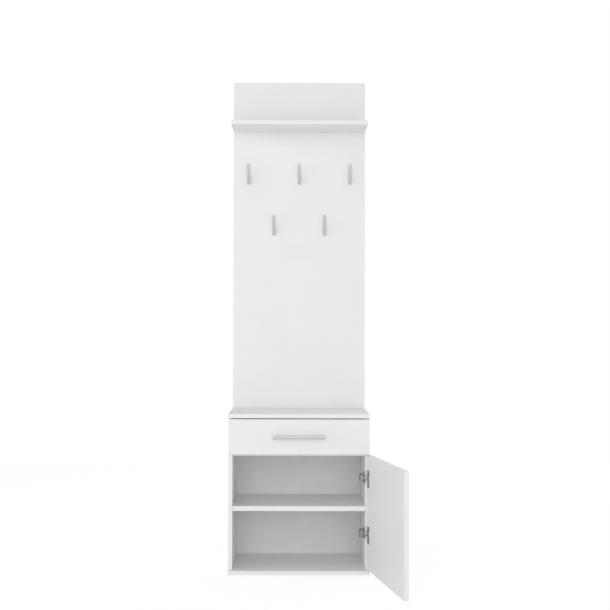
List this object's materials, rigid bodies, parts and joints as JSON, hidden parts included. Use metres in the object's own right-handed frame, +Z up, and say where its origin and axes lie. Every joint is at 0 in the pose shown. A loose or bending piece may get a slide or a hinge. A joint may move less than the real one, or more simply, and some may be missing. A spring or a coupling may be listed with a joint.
{
  "type": "hallway hook panel with shoe cabinet",
  "caption": "Tall white hook panel with a hat shelf, standing on a shoe cabinet that has a drawer with a bar handle and a hinged door.",
  "frame": {"origin": "middle of the underside of the cabinet's bottom board, on the floor", "axes": "+Z up, along the hook panel; +Y to the wall, out of the rear face of the hook panel; X across, with the door hinged at +X"},
  "size_m": [0.6394, 0.8777, 1.95],
  "materials": {
    "white_melamine": "satin white melamine film with matching edge banding",
    "white_fibreboard": "white lacquered thin fibreboard",
    "satin_metal": "satin",
    "hinge_steel": "bright nickel plate",
    "zinc_screw": "zinc plate",
    "white_screw": "white lacquer on the screw heads",
    "runner_enamel": "white epoxy enamel",
    "roller_nylon": "grey nylon"
  },
  "bodies": {
    "root": {"bottom_board": "white_melamine", "cabinet_back": "white_fibreboard", "cabinet_runner_left": "runner_enamel", "cabinet_runner_right": "runner_enamel", "carcass_screw_left_front": "zinc_screw", "carcass_screw_left_rear": "zinc_screw", "carcass_screw_right_front": "zinc_screw", "carcass_screw_right_rear": "zinc_screw", "divider_board": "white_melamine", "hat_shelf": "white_melamine", "hat_shelf_screw_left": "zinc_screw", "hat_shelf_screw_right": "zinc_screw", "hook_1": "satin_metal", "hook_2": "satin_metal", "hook_3": "satin_metal", "hook_4": "satin_metal", "hook_5": "satin_metal", "hook_panel": "white_melamine", "hook_screw_1": "zinc_screw", "hook_screw_2": "zinc_screw", "hook_screw_3": "zinc_screw", "hook_screw_4": "zinc_screw", "hook_screw_5": "zinc_screw", "inner_shelf": "white_melamine", "left_side": "white_melamine", "lower_hinge_arm": "hinge_steel", "lower_hinge_plate": "hinge_steel", "panel_screw_left": "zinc_screw", "panel_screw_right": "zinc_screw", "right_side": "white_melamine", "shelf_pin_left_front": "hinge_steel", "shelf_pin_left_rear": "hinge_steel", "shelf_pin_right_front": "hinge_steel", "shelf_pin_right_rear": "hinge_steel", "top_board": "white_melamine", "upper_hinge_arm": "hinge_steel", "upper_hinge_plate": "hinge_steel"},
    "drawer": {"drawer_back": "white_melamine", "drawer_bottom": "white_fibreboard", "drawer_front": "white_melamine", "drawer_handle": "satin_metal", "drawer_handle_screw_left": "zinc_screw", "drawer_handle_screw_right": "zinc_screw", "drawer_left_side": "white_melamine", "drawer_right_side": "white_melamine", "drawer_runner_left": "runner_enamel", "drawer_runner_right": "runner_enamel"},
    "door": {"door_handle": "satin_metal", "door_handle_screw_left": "white_screw", "door_handle_screw_right": "white_screw", "door_panel": "white_melamine", "lower_hinge_cup": "hinge_steel", "upper_hinge_cup": "hinge_steel"},
    "upper_link": {"upper_hinge_link": "hinge_steel"},
    "lower_link": {"lower_hinge_link": "hinge_steel"},
    "cabinet_roller_left": {"cabinet_roller_left": "roller_nylon"},
    "cabinet_roller_right": {"cabinet_roller_right": "roller_nylon"},
    "drawer_roller_left": {"drawer_roller_left": "roller_nylon"},
    "drawer_roller_right": {"drawer_roller_right": "roller_nylon"}
  },
  "joints": [
    {"name": "drawer_slide", "type": "slide", "parent": "root", "child": "drawer", "axis": [0, -1, 0], "range_m": [0, 0.22]},
    {"name": "door_swing", "type": "hinge", "parent": "root", "child": "door", "pos_m": [0.26502, -0.16869, 0.237], "axis": [0, 0, 1], "range_deg": [-100, 5]},
    {"name": "upper_link_turn", "type": "hinge", "parent": "root", "child": "upper_link", "pos_m": [0.249, -0.1635, 0.365], "axis": [0, 0, 1], "range_deg": [-103.5, 5.5]},
    {"name": "lower_link_turn", "type": "hinge", "parent": "root", "child": "lower_link", "pos_m": [0.249, -0.1635, 0.153], "axis": [0, 0, 1], "range_deg": [-103.5, 5.5]},
    {"name": "cabinet_roller_left_spin", "type": "hinge", "parent": "root", "child": "cabinet_roller_left", "pos_m": [-0.24765, -0.14, 0.4864], "axis": [1, 0, 0], "continuous": true},
    {"name": "drawer_roller_left_spin", "type": "hinge", "parent": "drawer", "child": "drawer_roller_left", "pos_m": [-0.24765, 0.136, 0.4857], "axis": [1, 0, 0], "continuous": true},
    {"name": "cabinet_roller_right_spin", "type": "hinge", "parent": "root", "child": "cabinet_roller_right", "pos_m": [0.24765, -0.14, 0.4864], "axis": [1, 0, 0], "continuous": true},
    {"name": "drawer_roller_right_spin", "type": "hinge", "parent": "drawer", "child": "drawer_roller_right", "pos_m": [0.24765, 0.136, 0.4857], "axis": [1, 0, 0], "continuous": true}
  ],
  "couplings": [
    {"joint": "upper_link_turn", "follows": "door_swing", "ratio": 1.03},
    {"joint": "lower_link_turn", "follows": "door_swing", "ratio": 1.03},
    {"joint": "cabinet_roller_left_spin", "follows": "drawer_slide", "rad_per_m": 95.238},
    {"joint": "drawer_roller_left_spin", "follows": "drawer_slide", "rad_per_m": 98.039},
    {"joint": "cabinet_roller_right_spin", "follows": "drawer_slide", "rad_per_m": 95.238},
    {"joint": "drawer_roller_right_spin", "follows": "drawer_slide", "rad_per_m": 98.039}
  ]
}
